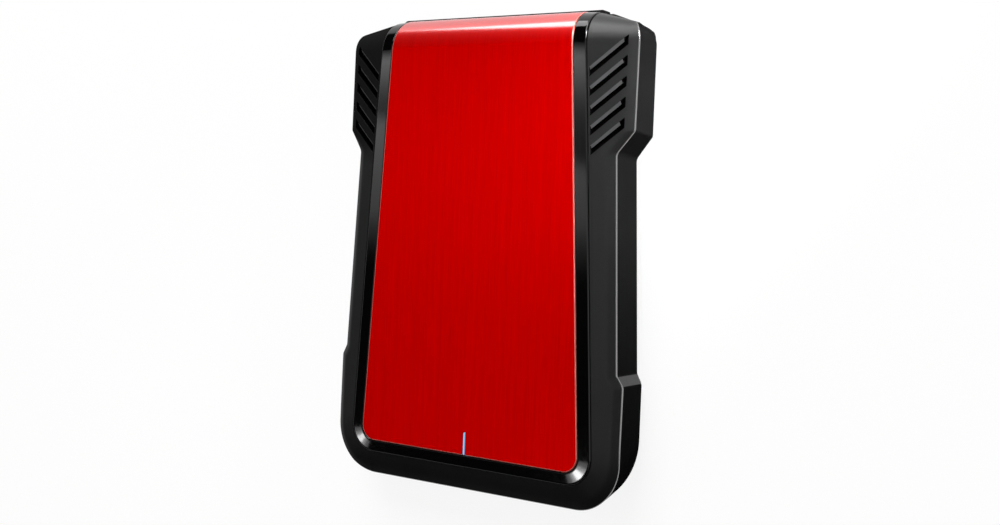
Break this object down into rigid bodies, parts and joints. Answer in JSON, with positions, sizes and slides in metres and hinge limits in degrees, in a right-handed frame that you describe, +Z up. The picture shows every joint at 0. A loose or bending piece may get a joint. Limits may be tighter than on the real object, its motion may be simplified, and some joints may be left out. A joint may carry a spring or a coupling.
{
  "type": "portable solid state drive",
  "caption": "Slim portable solid state drive: a bent brushed red metal face in a gloss bezel on a waisted black case with slotted ears, a sliding back cover and a drive inside.",
  "frame": {"origin": "middle of the footprint, on the surface that the back lies on", "axes": "+X across the width, +Y from the light and port end to the bent end, +Z up out of the red face"},
  "size_m": [0.09, 0.124, 0.016],
  "materials": {
    "red_anodised": "red anodised, brushed lengthwise",
    "gloss_black": "piano gloss black",
    "matte_black": "fine moulded texture",
    "lock_grey": "fine moulded texture",
    "black_foam": "closed cell foam strip",
    "bright_steel": "plated steel",
    "grey_alloy": "stamped and bead blasted",
    "board_green": "solder mask over glass laminate",
    "chip_black": "moulded epoxy",
    "tan_ceramic": "fired ceramic",
    "gold_plate": "gold flashed contacts",
    "clear_acrylic": "clear moulded light pipe",
    "lamp_blue": "blue lamp body",
    "clear_tape": "double sided film",
    "grey_silicone": "soft thermal pad"
  },
  "bodies": {
    "case": {"upper_shell": "matte_black", "gloss_bezel": "gloss_black", "front_panel": "red_anodised", "panel_tape": "clear_tape", "light_pipe": "clear_acrylic", "status_led": "lamp_blue", "bezel_screw_1": "bright_steel", "bezel_screw_2": "bright_steel", "bezel_screw_3": "bright_steel", "bezel_screw_4": "bright_steel", "bridge_board": "board_green", "board_screw_1": "bright_steel", "board_screw_2": "bright_steel", "bridge_chip": "chip_black", "crystal": "bright_steel", "capacitor_1": "tan_ceramic", "capacitor_2": "tan_ceramic", "capacitor_3": "tan_ceramic", "capacitor_4": "tan_ceramic", "usb_socket": "bright_steel", "usb_tongue": "chip_black", "sata_receptacle": "chip_black", "sata_pins": "gold_plate"},
    "cover": {"back_cover": "matte_black", "drive_pad_left": "black_foam", "drive_pad_right": "black_foam", "lock_keeper": "bright_steel"},
    "lock": {"lock_slider": "lock_grey"},
    "drive": {"drive_base": "grey_alloy", "drive_lid": "grey_alloy", "drive_plug": "chip_black", "drive_board": "board_green", "drive_controller": "chip_black", "thermal_pad": "grey_silicone", "drive_memory": "chip_black", "flash_chip_1": "chip_black", "flash_chip_2": "chip_black", "flash_chip_3": "chip_black", "flash_chip_4": "chip_black"}
  },
  "joints": [
    {"name": "cover_slide", "type": "slide", "parent": "case", "child": "cover", "axis": [0, 1, 0], "range_m": [0, 0.12]},
    {"name": "lock_slide", "type": "slide", "parent": "cover", "child": "lock", "axis": [1, 0, 0], "range_m": [0, 0.003]},
    {"name": "drive_slide", "type": "slide", "parent": "case", "child": "drive", "axis": [0, 1, 0], "range_m": [0, 0.004]}
  ]
}
